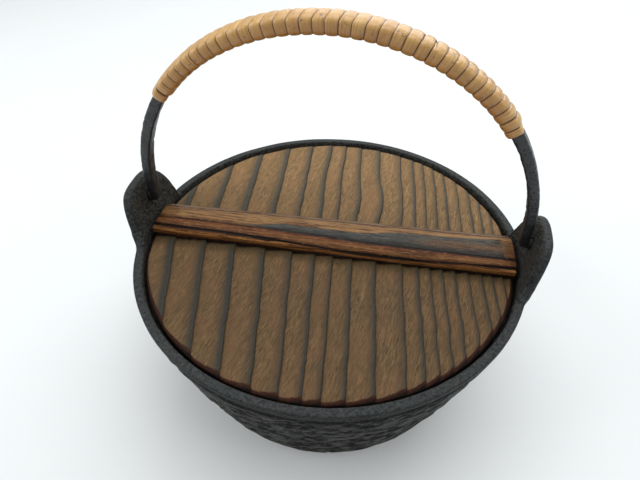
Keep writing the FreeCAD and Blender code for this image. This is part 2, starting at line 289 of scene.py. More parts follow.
def cast_iron_paint():
    paint = Paint("seasoned_cast_iron", Specular_IOR_Level=0.13)
    place = paint.place()
    wear_and_highlight = paint.value("wear_and_highlight")
    inside = paint.value("inside")
    relief = paint.value("relief")
    grain = paint.noise(place, 1.5, 5.0, 0.75)
    patches = paint.noise(place, 9.0, 4.0)
    skin = paint.mix(patches, (0.0035, 0.0036, 0.0032), (0.0085, 0.0089, 0.0078))
    # Painted shade: the hammered skin outside the dents is painted lighter, so the dents stay dark.
    skin = paint.mix(paint.step(relief, 0.15, 0.9), skin, (0.0150, 0.0156, 0.0122))
    hollow = paint.mix(paint.step(grain, 0.36, 0.64), (0.007, 0.0075, 0.0065),
                       (0.060, 0.060, 0.052))
    skin = paint.mix(inside, skin, hollow)
    # The rim's crown and the ears' edges: rubbed iron and a painted highlight together, lighter,
    # blue-grey and grainy.
    rubbed_highlight = paint.mix(paint.step(grain, 0.34, 0.66), (0.012, 0.014, 0.014), (0.044, 0.048, 0.049))
    skin = paint.mix(wear_and_highlight, skin, rubbed_highlight)
    specks = paint.step(paint.noise(place, 1.6, 4.0, 0.75), 0.55, 0.66)
    skin = paint.mix(paint.math("MULTIPLY", specks, 0.5), skin, (0.062, 0.063, 0.060))
    spots = paint.noise(place, 2.2, 5.0, 0.75)
    areas = paint.step(paint.noise(place, 16.0, 2.0), 0.42, 0.60)
    rust = paint.math("MULTIPLY", paint.step(spots, 0.58, 0.66), areas)
    rust = paint.math("MULTIPLY", rust, paint.step(inside, 0.0, 1.0, 0.30, 1.0))
    colour = paint.mix(rust, skin, (0.125, 0.062, 0.030))
    roughness = paint.step(paint.math("ADD", grain, patches), 0.6, 1.4, 0.36, 0.58)
    roughness = paint.math("ADD", roughness, paint.math("MULTIPLY", rust, 0.25))
    pits = paint.step(paint.cells(place, 1.9), 0.05, 0.5)
    paint.bump((grain, 0.60), (pits, 0.25), (paint.noise(place, 2.6, 3.0), 0.40))
    return paint.finish(colour, roughness)


def steel_paint():
    paint = Paint("blackened_steel", Specular_IOR_Level=0.55)
    place = paint.place()
    grain = paint.noise(place, 0.8, 4.0, 0.65)
    patches = paint.noise(place, 6.0, 4.0)
    colour = paint.mix(patches, (0.006, 0.0065, 0.0075), (0.019, 0.021, 0.025))
    rust = paint.step(paint.noise(place, 1.9, 5.0, 0.7), 0.64, 0.74)
    colour = paint.mix(paint.math("MULTIPLY", rust, 0.6), colour, (0.055, 0.028, 0.016))
    # Painted shade: the bar's ends are darkened where they go into the ears' holes, and made rough
    # so they hold no highlight.
    peg = paint.value("peg")
    colour = paint.mix(peg, colour, (0.004, 0.004, 0.004))
    roughness = paint.math("MAXIMUM", paint.step(patches, 0.3, 0.7, 0.30, 0.52),
                           paint.math("MULTIPLY", peg, 0.8))
    pits = paint.step(paint.cells(place, 1.9), 0.04, 0.42)
    paint.bump((grain, 0.16), (pits, 0.20))
    return paint.finish(colour, roughness)


def cane_paint():
    paint = Paint("natural_cane", Specular_IOR_Level=0.35, Coat_Weight=0.3, Coat_Roughness=0.16)
    along = paint.value("along")
    across = paint.value("across")
    turn = paint.value("turn")
    fibres = paint.noise(paint.join(paint.math("MULTIPLY", along, 0.045),
                                    paint.math("MULTIPLY", across, 5.0), turn), 1.0, 4.0, 0.6)
    fine = paint.noise(paint.join(paint.math("MULTIPLY", along, 0.11),
                                  paint.math("MULTIPLY", across, 14.0), turn), 1.0, 3.0, 0.7)
    tone = paint.noise(paint.place(), 9.0, 3.0)
    skin = paint.ramp(fibres, [(0.25, (0.420, 0.225, 0.070)), (0.5, (0.560, 0.335, 0.120)),
                               (0.75, (0.700, 0.470, 0.200))])
    skin = paint.mix(paint.step(tone, 0.38, 0.62, 0.0, 0.5), skin, (0.440, 0.240, 0.078))
    skin = paint.mix(paint.step(fine, 0.53, 0.70, 0.0, 0.40), skin, (0.180, 0.080, 0.028))
    stains = paint.step(paint.noise(paint.place(), 2.6, 4.0, 0.65), 0.60, 0.72, 0.0, 0.75)
    skin = paint.mix(stains, skin, (0.075, 0.032, 0.014))
    # Painted shade: the faces of each turn that look away from the top of the arch are darkened,
    # most on the underside.
    painted_shade_colour = paint.mix(1.0, skin, (0.74, 0.54, 0.34), "MULTIPLY")
    skin = paint.mix(paint.value("down"), skin, painted_shade_colour)
    # Painted shade: the strip's two edges, where one turn meets the next, are darkened.
    crease_shade = paint.step(paint.math("ABSOLUTE", across), 0.80, 0.97)
    colour = paint.mix(paint.math("MULTIPLY", crease_shade, 0.92), skin, (0.060, 0.024, 0.011))
    roughness = paint.step(fibres, 0.3, 0.7, 0.26, 0.44)
    paint.bump((fine, 0.05), (fibres, 0.10))
    return paint.finish(colour, roughness)


def board_paint():
    paint = Paint("scorched_softwood", Specular_IOR_Level=0.18)
    late_and_shadow = paint.value("latewood_and_cliff_shadow")
    burn = paint.value("burn")
    rise = paint.value("rise")
    shade = paint.value("shade")
    fibres = paint.noise(paint.place((0.40, 3.8, 2.0), 0.20), 1.0, 4.0, 0.68)
    streaks = paint.noise(paint.place((1.6, 24.0, 10.0), 0.10), 1.0, 3.0)
    blotches = paint.noise(paint.place((1, 2, 1)), 12.0, 3.0)
    early = paint.ramp(fibres, [(0.30, (0.026, 0.013, 0.005)), (0.50, (0.108, 0.063, 0.026)),
                                (0.70, (0.200, 0.122, 0.053))])
    early = paint.mix(paint.step(streaks, 0.35, 0.65, 0.0, 0.5), early, (0.068, 0.042, 0.018))
    early = paint.mix(paint.step(blotches, 0.42, 0.68, 0.0, 0.45), early, (0.128, 0.066, 0.029))
    early = paint.mix(paint.step(rise, 0.40, 1.0, 0.0, 0.75), early, (0.038, 0.028, 0.016))
    ridge = paint.mix(fibres, (0.012, 0.012, 0.010), (0.040, 0.040, 0.034))
    # Latewood, and the painted shadow at the foot of each cliff, take the ridge colour.
    colour = paint.mix(late_and_shadow, early, ridge)
    # Painted sheen: the board is lightened towards the back, +Y, where the back light glances off
    # it.
    across_grain = paint.add("SeparateXYZ", {0: paint.place()}).outputs["Y"]
    colour = paint.mix(paint.step(across_grain, -40.0, 85.0, 0.0, 0.55), colour,
                       paint.mix(1.0, colour, (2.7, 2.75, 2.6), "MULTIPLY"))
    # Painted shade from the shade value: olive where it is faint, near black at the cliffs and at
    # the batten's foot.
    colour = paint.mix(paint.step(shade, 0.0, 0.5, 0.0, 0.62), colour, (0.034, 0.026, 0.010))
    colour = paint.mix(paint.step(shade, 0.6, 1.0, 0.0, 0.9), colour, (0.008, 0.006, 0.004))
    char = paint.mix(paint.noise(paint.place(), 2.2, 3.0), (0.010, 0.004, 0.003),
                     (0.070, 0.022, 0.009))
    char = paint.mix(paint.step(burn, 0.55, 1.0), char, (0.006, 0.004, 0.003))
    colour = paint.mix(paint.step(burn, 0.0, 0.5), colour, char)
    roughness = paint.step(fibres, 0.3, 0.7, 0.64, 0.46)
    paint.bump((fibres, 0.45), (streaks, 0.25))
    return paint.finish(colour, roughness)


def batten_paint():
    paint = Paint("scorched_hardwood", Specular_IOR_Level=0.14)
    layer = paint.value("layer")
    along = paint.value("along")
    band = paint.value("band")
    char = paint.value("char")
    lines = paint.noise(paint.join(paint.math("MULTIPLY", layer, 1.5),
                                   paint.math("MULTIPLY", along, 0.035)), 1.0, 3.0, 0.6)
    fine = paint.noise(paint.join(paint.math("MULTIPLY", layer, 4.2),
                                  paint.math("MULTIPLY", along, 0.09)), 1.0, 3.0, 0.65)
    pores = paint.noise(paint.place((3.2, 0.42, 0.42), -0.033), 1.0, 3.0, 0.6)
    band_share = paint.math("DIVIDE", band, BATTEN_BANDS)
    # The dark stops near 0, 0.16 to 0.31, 0.49, 0.85 and 0.985 are painted shade: the batten's feet
    # on the board and the bottoms of its grooves.
    bands = paint.ramp(band_share, [
        (0.000, (0.010, 0.005, 0.004)), (0.030, (0.014, 0.007, 0.005)),
        (0.055, (0.230, 0.090, 0.024)), (0.130, (0.330, 0.145, 0.042)),
        (0.158, (0.090, 0.026, 0.009)), (0.180, (0.006, 0.004, 0.004)),
        (0.310, (0.006, 0.004, 0.004)), (0.345, (0.090, 0.036, 0.013)),
        (0.400, (0.185, 0.082, 0.027)), (0.455, (0.140, 0.046, 0.014)),
        (0.480, (0.045, 0.012, 0.006)), (0.505, (0.012, 0.006, 0.005)),
        (0.530, (0.125, 0.058, 0.023)), (0.645, (0.140, 0.074, 0.031)),
        (0.685, (0.240, 0.130, 0.048)), (0.800, (0.210, 0.115, 0.045)),
        (0.830, (0.170, 0.092, 0.038)), (0.850, (0.022, 0.013, 0.010)),
        (0.880, (0.150, 0.096, 0.054)), (0.955, (0.125, 0.078, 0.045)),
        (0.985, (0.030, 0.018, 0.013)),
    ])
    colour = paint.mix(paint.step(lines, 0.50, 0.60, 0.0, 0.85), bands, (0.052, 0.016, 0.006))
    colour = paint.mix(paint.step(fine, 0.52, 0.62, 0.0, 0.8), colour, (0.036, 0.011, 0.005))
    colour = paint.mix(paint.step(pores, 0.54, 0.66, 0.0, 0.5), colour, (0.330, 0.165, 0.060))
    soot = paint.mix(paint.step(fine, 0.38, 0.62), (0.016, 0.017, 0.016), (0.066, 0.066, 0.059))
    soot = paint.mix(paint.step(pores, 0.52, 0.66, 0.0, 0.55), soot, (0.130, 0.108, 0.080))
    soot = paint.mix(paint.step(band, 3.0, 3.7, 0.75, 0.0), soot, (0.010, 0.009, 0.008))
    colour = paint.mix(char, colour, soot)
    # Painted shade: near black at the foot where the batten meets the board and in the bottoms of
    # its three grooves.
    groove_shade = paint.ramp(band_share, [
        (0.000, (0.8, 0.8, 0.8)), (0.035, (0.0, 0.0, 0.0)), (0.155, (0.0, 0.0, 0.0)),
        (0.190, (1.0, 1.0, 1.0)), (0.305, (1.0, 1.0, 1.0)), (0.340, (0.0, 0.0, 0.0)),
        (0.470, (0.0, 0.0, 0.0)), (0.495, (0.9, 0.9, 0.9)), (0.515, (0.0, 0.0, 0.0)),
        (0.838, (0.0, 0.0, 0.0)), (0.855, (0.8, 0.8, 0.8)), (0.875, (0.0, 0.0, 0.0)),
    ])
    colour = paint.mix(groove_shade, colour, (0.007, 0.004, 0.003))
    roughness = paint.step(fine, 0.3, 0.7, 0.36, 0.52)
    paint.bump((fine, 0.30), (lines, 0.35))
    return paint.finish(colour, roughness)


# ---------------------------------------------------------------------------------------------
# Pot: a lathe whose rim is lifted into the two ears
# ---------------------------------------------------------------------------------------------

def along_ear(angle):
    """How far along the rim from the nearer ear's middle, positive towards +Y."""
    right = (angle + math.pi) % (2 * math.pi) - math.pi
    left = (2 * math.pi - angle) % (2 * math.pi) - math.pi
    return RIM_RADIUS * np.where(np.abs(right) < math.pi / 2, right, left)


def ear_height(s):
    """The ear's outline above the rim: a full shoulder and a flared foot in front, and behind
    a rounder fall that meets the rim in a small notch."""
    front = 1 - np.abs(s / EAR_HALF) ** 5
    rear = 1 - np.abs(s / (EAR_HALF - 0.5)) ** 2.6
    front = np.sign(front) * np.abs(front) ** 0.5
    rear = np.sign(rear) * np.abs(rear) ** 0.625
    arch = EAR_RISE * np.where(s < 0, front, rear)
    height = (arch + np.sqrt(arch ** 2 + 1.3)) / 2
    foot = 8.0 * smooth(30, 20, -s) * smooth(0, -16, s)
    height = (height ** 3 + foot ** 3) ** (1 / 3) * EAR_RISE / (EAR_RISE + 0.05)
    notch = 0.9 * bell(s - EAR_HALF - 1.5, 1.3)
    return height * smooth(36, 26, np.abs(s)) - notch


def rim_angles(count):
    """Angles all round, closer together along the ears and closest at their steep sides."""
    fine = np.linspace(0, 2 * math.pi, 20001)
    s = np.abs(along_ear(fine))
    density = 1 + 0.6 * smooth(34, 26, s) + 4.0 * bell(s - 21.6, 2.6)
    return spread(count, fine, density, endpoint=False)


def wall_radius(z):
    """The outer wall below the rim, before its hammering."""
    share = np.clip(z / BAND_FOOT, 0, 1)
    wall = FOOT_RADIUS + (BAND_RADIUS - FOOT_RADIUS) * share + 4 * WALL_BELLY * share * (1 - share)
    lip = smooth(RIM_HEIGHT - 3.4, RIM_HEIGHT - 2.2, z)
    groove = bell(z - BAND_FOOT + 0.3, 0.9)
    return np.minimum(wall, BAND_RADIUS - 0.45) + 1.45 * lip - 0.55 * groove


def build_pot():
    angles = rim_angles(600)
    s = along_ear(angles)
    step = 0.01
    height = ear_height(s)
    slope = (ear_height(s + step) - ear_height(s - step)) / (2 * step)
    norm = np.sqrt(1 + slope ** 2)
    out_s, out_z = -slope / norm, 1 / norm
    ear = smooth(0.3, 7.0, height)
    edge = 0.8 + 0.7 * ear
    climb = height / (EAR_RISE + 1)
    outer = RIM_RADIUS + ear * (EAR_PROUD + EAR_FLARE * climb)
    inner = RIM_RADIUS - RIM_FLAT + ear * (0.2 + EAR_INNER_FLARE * climb)
    crest = RIM_HEIGHT + height

    rows = []

    def row(radius, z, shift=0.0, wear_and_highlight=0.0, inside=0.0, hammer=0.0, cast=0.0):
        """One ring. shift moves it along the rim, and the rest are what the surface is like."""
        full = np.ones_like(angles)
        rows.append([full * value for value in (radius, z, shift, wear_and_highlight, inside, hammer, cast)])

    # underside, from the middle out, and the rounded foot
    for radius in (2, 12, 24, 36, 48, 56, 60):
        row(radius, 0.5, cast=0.4)
    row(61.5, 0.0)
    row(66, 0.0)
    foot = FOOT_RADIUS - 6.0
    for share in np.linspace(0, 1, 8):
        radius = foot * (1 - share) ** 2 + 2 * FOOT_RADIUS * share * (1 - share)
        radius += (FOOT_RADIUS + 1.7) * share ** 2
        row(radius, FOOT_ROUND * share ** 2, hammer=0.6 * share ** 2, cast=1)
    # outer wall
    root = RIM_HEIGHT - EAR_ROOT
    for z in np.linspace(FOOT_ROUND, root, 52)[1:-1]:
        row(wall_radius(z), z, hammer=0.6 + 0.4 * smooth(6, 14, z), cast=1)
    # from the ear's root up to the crown's outer corner
    corner = crest - edge * out_z
    for share in np.linspace(0, 1, 24):
        z = root + (corner - root) * share
        shift = -edge * out_s * share ** 3
        above = np.clip(z - RIM_HEIGHT, 0, None)
        leaf = np.interp(z, [root, RIM_HEIGHT], [wall_radius(root) - 0.4, RIM_RADIUS + EAR_PROUD])
        leaf = leaf + EAR_FLARE * above / (EAR_RISE + 1)
        plain = wall_radius(np.minimum(z, RIM_HEIGHT)) + 0.02 * above
        radius = plain + (leaf - plain) * ear
        hammer = smooth(BAND_FOOT, BAND_FOOT - 4, z) * (1 - 0.6 * ear)
        row(radius, z, shift, wear_and_highlight=0.25 * smooth(RIM_HEIGHT - 3, RIM_HEIGHT, z) * share,
            hammer=hammer, cast=1 - 0.5 * smooth(BAND_FOOT - 2, BAND_FOOT, z))
    # crown: outer corner, flat, inner corner
    for turn in np.linspace(0, math.pi / 2, 5)[1:]:
        lift = edge * (1 - math.sin(turn))
        row(outer - edge * (1 - math.cos(turn)), crest - lift * out_z, -lift * out_s,
            wear_and_highlight=0.6 + 0.4 * math.sin(turn))
    for share in np.linspace(0, 1, 7)[1:]:
        radius = outer - edge + (inner - outer + 2 * edge) * share
        row(radius, crest, wear_and_highlight=1.0)
    for turn in np.linspace(0, math.pi / 2, 5)[1:]:
        lift = edge * (1 - math.cos(turn))
        row(inner + edge * (1 - math.sin(turn)), crest - lift * out_z, -lift * out_s,
            wear_and_highlight=1 - 0.9 * math.sin(turn), inside=math.sin(turn))
    # inner face down to the lid's seat
    seat = RIM_HEIGHT - SEAT_DEPTH
    for share in np.linspace(0, 1, 18)[1:]:
        z = corner + (seat - corner) * share
        above = np.clip(z - RIM_HEIGHT, 0, None)
        leaf = RIM_RADIUS - RIM_FLAT + 0.2 * ear
        leaf = leaf + EAR_INNER_FLARE * above * ear / (EAR_RISE + 1)
        below = np.clip(RIM_HEIGHT - z, 0, SEAT_DEPTH) / SEAT_DEPTH
        radius = leaf - (RIM_RADIUS - RIM_FLAT - SEAT_RADIUS) * below
        row(radius, z, -edge * out_s * (1 - share) ** 3, inside=1, cast=0.5)
    # ledge, inner wall and floor
    ledge = SEAT_RADIUS - SEAT_WIDTH
    row(ledge + 1.7, seat, inside=1)
    row(ledge + 0.4, seat, inside=1)
    row(ledge, seat - 0.5, inside=1)
    row(ledge, seat - 2.3, inside=1)
    slope_in = (BAND_RADIUS - FOOT_RADIUS) / BAND_FOOT
    for z in np.linspace(seat - 6, FLOOR_THICK + FLOOR_CURVE, 13):
        row(FOOT_RADIUS + slope_in * z - RIM_FLAT, z, inside=1, cast=0.8)
    side = FOOT_RADIUS + slope_in * (FLOOR_THICK + FLOOR_CURVE) - RIM_FLAT
    for share in np.linspace(0, 1, 7)[1:]:
        radius = side * (1 - share) ** 2 + 2 * (side - 2.4) * share * (1 - share)
        radius += (side - 11) * share ** 2
        row(radius, FLOOR_THICK + FLOOR_CURVE * (1 - share) ** 2, inside=1, cast=0.8)
    for radius in (54, 44, 33, 22, 11, 2):
        row(radius, FLOOR_THICK, inside=1, cast=0.6)

    radius, z, shift, wear_and_highlight, inside, hammer, cast = np.array(rows).transpose(1, 0, 2)
    turned = angles + np.where(np.cos(angles) > 0, 1, -1) * shift / RIM_RADIUS
    across = np.stack([np.cos(turned), np.sin(turned)], -1)
    points = np.concatenate([across * radius[..., None], z[..., None]], -1)
    squat = points * [1, 1, 2.1]
    dents = smooth(-0.02, 0.40, fractal(squat, 6.5, 3, 2.0))
    knocks = 0.5 * fractal(squat, 9.0, 2, 1.0) - 1.15 * dents
    rough = 0.10 * fractal(points, 3.0, 2, 3.0)
    waves = 0.22 * fractal(points, 22.0, 2, 4.0)
    push = hammer * knocks + cast * rough + np.where(inside > 0.5, -1, 1) * cast * waves
    push = push + wear_and_highlight * 0.07 * fractal(points, 2.4, 2, 5.0)
    upright = smooth(0.5, 4.0, z)
    points[..., :2] += across * (push * upright)[..., None]
    sway = 0.22 * fractal(points, 26.0, 1, 6.0) * smooth(RIM_HEIGHT - 3, RIM_HEIGHT, z)
    points[..., 2] += np.minimum(sway, 0) * (1 - smooth(0.5, 3, np.abs(height)))
    limit = np.where(z <= RIM_HEIGHT + 0.5, RIM_RADIUS + 1.7 * ear, 200)
    reach = np.hypot(points[..., 0], points[..., 1])
    points[..., :2] *= np.minimum(1, limit / reach)[..., None]

    count, columns = radius.shape
    vertices = points.reshape(-1, 3).tolist()
    faces = grid_quads(count, columns, close_columns=True)
    faces += fan(list(range(columns)), len(vertices))
    vertices.append([0, 0, float(z[0, 0])])
    faces += fan([(count - 1) * columns + i for i in range(columns)], len(vertices))
    vertices.append([0, 0, float(z[-1, 0])])
    # relief is 1 on the hammered skin outside the dents and 0 in them; the iron's colour uses it to
    # paint shade into the dents.
    relief = (1 - dents) * smooth(0.1, 0.6, hammer)
    ends = [0.0, 0.0]
    # wear_and_highlight is 1 on the rim's crown and less down its corners and the top of the wall;
    # it marks rubbed iron and a painted highlight.
    values = {"wear_and_highlight": wear_and_highlight.ravel().tolist() + ends,
              "inside": inside.ravel().tolist() + [0.0, 1.0],
              "relief": relief.ravel().tolist() + ends}
    return make_mesh("pot_iron", vertices, faces, values)


def drill_ears(pot):
    """Cut the bail's holes through both ears."""
    drill_mesh = bpy.data.meshes.new("drill")
    shape = bmesh.new()
    turn = Matrix.Rotation(math.pi / 2, 4, "Y")
    bmesh.ops.create_cone(shape, cap_ends=True, segments=40, radius1=HOLE_RADIUS * MM,
                          radius2=HOLE_RADIUS * MM, depth=0.3,
                          matrix=Matrix.Translation((0, 0, PIVOT_HEIGHT * MM)) @ turn)
    shape.to_mesh(drill_mesh)
    shape.free()
    drill = bpy.data.objects.new("drill", drill_mesh)
    bpy.context.scene.collection.objects.link(drill)
    cut = pot.modifiers.new("holes", "BOOLEAN")
    cut.operation = "DIFFERENCE"
    cut.solver = "EXACT"
    cut.object = drill
    graph = bpy.context.evaluated_depsgraph_get()
    drilled = bpy.data.meshes.new_from_object(pot.evaluated_get(graph))
    pot.modifiers.clear()
    old = pot.data
    pot.data = drilled
    drilled.name = old.name
    bpy.data.meshes.remove(old)
    bpy.data.objects.remove(drill)
    bpy.data.meshes.remove(drill_mesh)


# ---------------------------------------------------------------------------------------------
# Bail: a forged bar swept from peg to peg
# ---------------------------------------------------------------------------------------------

def lean_back(across, up, out):
    """Points of the bail's own plane, put in the frame. out is across the plane, towards +Y."""
    return np.stack([across, out * math.cos(LEAN) - up * math.sin(LEAN),
                     PIVOT_HEIGHT + up * math.cos(LEAN) + out * math.sin(LEAN)], -1)


def arch_line(angle):
    """The bar's centreline at these angles of its ellipse, and its outward direction."""
    across, up = ARCH_HALF * np.cos(angle), ARCH_CENTRE + ARCH_HEIGHT * np.sin(angle)
    normal = np.stack([ARCH_HEIGHT * np.cos(angle), ARCH_HALF * np.sin(angle)], -1)
    return across, up, normal / np.linalg.norm(normal, axis=-1, keepdims=True)


def rounded(turn, half_a, half_b, power):
    """A point of a rounded rectangle, as a superellipse."""
    c, s = np.cos(turn), np.sin(turn)
    return (half_a * np.sign(c) * np.abs(c) ** (2 / power),
            half_b * np.sign(s) * np.abs(s) ** (2 / power))


def build_bail():
    bend = ARCH_CENTRE
    tip = bail_high[0] - 0.1
    peg = np.linspace(tip, ARCH_HALF + bend, 14)
    turn = np.linspace(0, math.pi / 2, 9)[1:-1]
    leg = np.radians(np.linspace(0, 37, 100))
    wrapped = np.radians(np.linspace(37, 143, 60))[1:-1]
    arch = np.concatenate([leg, wrapped, math.pi - leg[::-1]])
    across, up, normal = arch_line(arch)
    bend_x = ARCH_HALF + bend - bend * np.sin(turn)
    bend_up = bend - bend * np.cos(turn)
    bend_normal = np.stack([np.sin(turn), np.cos(turn)], -1)
    peg_normal = np.tile([0.0, 1.0], (len(peg), 1))

    def both_ends(end_peg, end_bend, middle, flip=1):
        return np.concatenate([end_peg, end_bend, middle, flip * end_bend[::-1],
                               flip * end_peg[::-1]])

    xs = both_ends(peg, bend_x, across, -1)
    ups = both_ends(np.zeros_like(peg), bend_up, up)
    normals = np.concatenate([peg_normal, bend_normal, normal,
                              bend_normal[::-1] * [-1, 1], peg_normal])
    length = running_total(np.hypot(np.diff(xs), np.diff(ups)))
    from_end = np.minimum(length, length[-1] - length)
    bar = smooth(10.5, 19.0, from_end)
    tall = smooth(19, 62, from_end)
    half_thick = PEG_RADIUS + (BAR_HALF_THICK - 0.12 - PEG_RADIUS) * bar + 0.12 * tall
    half_wide = PEG_RADIUS + (BAR_HALF_WIDTH - 0.15 - PEG_RADIUS) * bar + 0.15 * tall
    power = 2 + 4.0 * bar
    end = np.sqrt(np.clip(1 - (1 - np.clip(from_end / 1.6, 0, 1)) ** 2, 0.04, 1))
    forged = 1 + 0.035 * wander(length, 11.0, 1) * bar
    twist = 0.05 * wander(length, 30.0, 2) * bar

    turns = np.linspace(0, 2 * math.pi, 40, endpoint=False)[None, :]
    a, b = rounded(turns, (half_thick * end * forged)[:, None],
                   (half_wide * end * (2 - forged))[:, None], power[:, None])
    out = b + a * twist[:, None]
    place = np.stack([xs[:, None] + normals[:, :1] * a, ups[:, None] + normals[:, 1:] * a], -1)
    points = lean_back(place[..., 0], place[..., 1], out)
    rough = fractal(points, 2.2, 3, 7.0)
    hollows = np.clip(fractal(points, 4.5, 2, 8.0) - 0.15, 0, 1)
    inner_side = smooth(0.2, -0.9, np.cos(turns))
    push = 0.12 * rough - (0.25 + 0.30 * inner_side) * hollows * bar[:, None]
    push = np.minimum(push, 0.05) * smooth(2, 6, from_end)[:, None]
    away_a, away_b = np.cos(turns), np.sin(turns)
    moved = place + normals[:, None, :] * (away_a * push)[..., None]
    points = lean_back(moved[..., 0], moved[..., 1], out + away_b * push)
    rings, sides = points.shape[:2]
    vertices = points.reshape(-1, 3).tolist()
    faces = grid_quads(rings, sides, close_columns=True)
    for first, side in ((0, 0), ((rings - 1) * sides, rings - 1)):
        faces += fan([first + i for i in range(sides)], len(vertices))
        vertices.append(points[side].mean(0).tolist())
    # peg_shade is 1 on the last 13 mm of each end and fades out by 24 mm; it paints those ends
    # dark.
    peg_shade = np.repeat(smooth(24, 13, from_end), sides).tolist() + [1.0, 1.0]
    return make_mesh("bail_steel", vertices, faces, {"peg": peg_shade})


# ---------------------------------------------------------------------------------------------
# Cane: each strip is wound round the bar, its turns edge to edge
# ---------------------------------------------------------------------------------------------

def arch_by_length():
    """Tables of the ellipse's angle and its distance from the arch's top, towards +X."""
    angle = np.linspace(math.pi, 0, 4001)
    across, up, _ = arch_line(angle)
    length = running_total(np.hypot(np.diff(across), np.diff(up)))
    bearing = np.degrees(np.arctan2(across, up - ARCH_CENTRE))
    length -= np.interp(0, bearing, length)
    return angle, length, bearing


ARCH_ANGLE, ARCH_LENGTH, ARCH_BEARING = arch_by_length()


def build_cane(name, bearings, start, thin_ends, gap):
    """A strip from one bearing to the other. start is the part of a turn at which it begins,
    thin_ends how narrow it gets at each end, and gap how far the first turn stands off."""
    low, high = np.interp(bearings, ARCH_BEARING, ARCH_LENGTH)
    turns = (high - low) / CANE_PITCH
    per_turn = 44
    q = np.linspace(0, turns, int(turns * per_turn))
    width = 1 - (1 - thin_ends[0]) * smooth(1.4, 0.3, q)
    width = width - (1 - thin_ends[1]) * smooth(turns - 1.5, turns - 0.3, q)
    width = width * (1 + 0.07 * wander(q, 1.3, bearings[0]))
    steps = running_total((width[1:] + width[:-1]) / 2 * np.diff(q))
    pitch = (high - low) / (steps[-1] + 0.9)
    turn = 2 * math.pi * (q + start)
    slant = 1.4 * np.sin(turn + 0.61) / (2 * math.pi) * width
    middle = low + pitch * 0.45 + pitch * (steps - slant)
    middle = middle - gap * bell((q + start - 1) / 0.2, 1.0)
    middle = np.clip(middle, low + 0.35 * pitch * width, high - 0.35 * pitch * width)

    across_share = np.array([-1.0, -0.95, -0.86, -0.7, -0.4, 0.0, 0.4, 0.7, 0.86, 0.95, 1.0])
    top = -0.58 * np.abs(across_share) ** 3.2 - 0.08 * across_share
    shares = np.concatenate([across_share, [1.0, -1.0]])
    depth = np.concatenate([top, [-1.7, -1.7]])
    tuck = smooth(0.22, 0.0, q) + smooth(turns - 0.22, turns, q)
    swell = 0.12 * wander(q, 0.9, 5 + bearings[0])

    half_thick, half_width = CANE_HALF_THICK - 0.12, CANE_HALF_WIDTH - 0.08
    out, radial = rounded(turn, -half_width, half_thick, 3.2)
    away_out, away_radial = rounded(turn, -1.0, 1.0, 1.35)
    size = np.hypot(away_out, away_radial)
    away_out, away_radial = away_out / size, away_radial / size

    place = middle[:, None] + shares * (0.518 * pitch * width)[:, None]
    angle = np.interp(place, ARCH_LENGTH, ARCH_ANGLE)
    across, up, normal = arch_line(angle)
    push = depth - (tuck - np.minimum(swell, 0.05))[:, None]
    raised = radial[:, None] + away_radial[:, None] * push
    points = lean_back(across + normal[..., 0] * raised, up + normal[..., 1] * raised,
                       out[:, None] + away_out[:, None] * push)
    rings, sides = points.shape[:2]
    vertices = points.reshape(-1, 3).tolist()
    faces = grid_quads(rings, sides, close_columns=True)
    faces.append(list(range(sides)))
    faces.append([(rings - 1) * sides + i for i in range(sides)])
    crown = points[:, len(across_share) // 2]
    length = running_total(np.linalg.norm(np.diff(crown, axis=0), axis=-1))
    grid = np.ones_like(place)
    values = {"along": length[:, None] * grid, "across": shares[None, :] * grid,
              "turn": 0.37 * np.floor(q + start)[:, None] * grid,
              # down paints shade: 0 on the top of each turn and 1 on its underside.
              "down": smooth(0.75, -0.6, np.sin(turn))[:, None] * grid}
    return make_mesh(name, vertices, faces, values)


# ---------------------------------------------------------------------------------------------
# Lid board: one plank, brushed so that its growth rings stand up as ridges
# ---------------------------------------------------------------------------------------------

# Widths of the rings across the board from left to right, and the y at which they are counted
RING_WIDTHS = [13, 15, 17, 16, 16, 14, 12, 9, 10, 12, 13, 8, 6, 6, 6, 6.5, 6.5, 5, 5, 5, 8]
RING_EDGES = running_total(RING_WIDTHS) - 108.0
RING_LINE = -15.0


def ring_drift(u, y):
    """How far sideways a ring has moved from its place on the line where rings are counted."""
    left = np.clip(-u / 80, 0, 1.3)
    right = np.clip(u / 80, 0, 1.3)
    near = -(0.12 + 0.18 * left ** 0.8 - 0.03 * right)
    far = -(0.085 + 0.055 * left - 0.01 * right)
    away = y - RING_LINE
    slope = far + (near - far) * smooth(8, -25, away)
    bulge = 2.8 * bell(u - 24, 14) * bell(y - 38, 16)
    bulge = bulge - 1.6 * bell(u + 2, 10) * bell(y - 55, 18)
    return slope * away + bulge


def batten_footprint(x):
    """The middle and half width of the batten at x."""
    share = (x + 100) / 200
    return -3.9 + 6.7 * share, 10.3 + 2.8 * share


def ring_line(u, y):
    """Where the growth line counted at u has got to at y."""
    ripple = np.stack([u * 0.25, y, np.zeros_like(y)], -1)
    return u + ring_drift(u, y) - 0.55 * fractal(ripple, 13.0, 2, 9.0)


def ring_count(x, y):
    """The growth line that passes through each point."""
    u = x - ring_drift(x, y)
    for _ in range(8):
        u = x - (ring_line(u, y) - u)
    return u


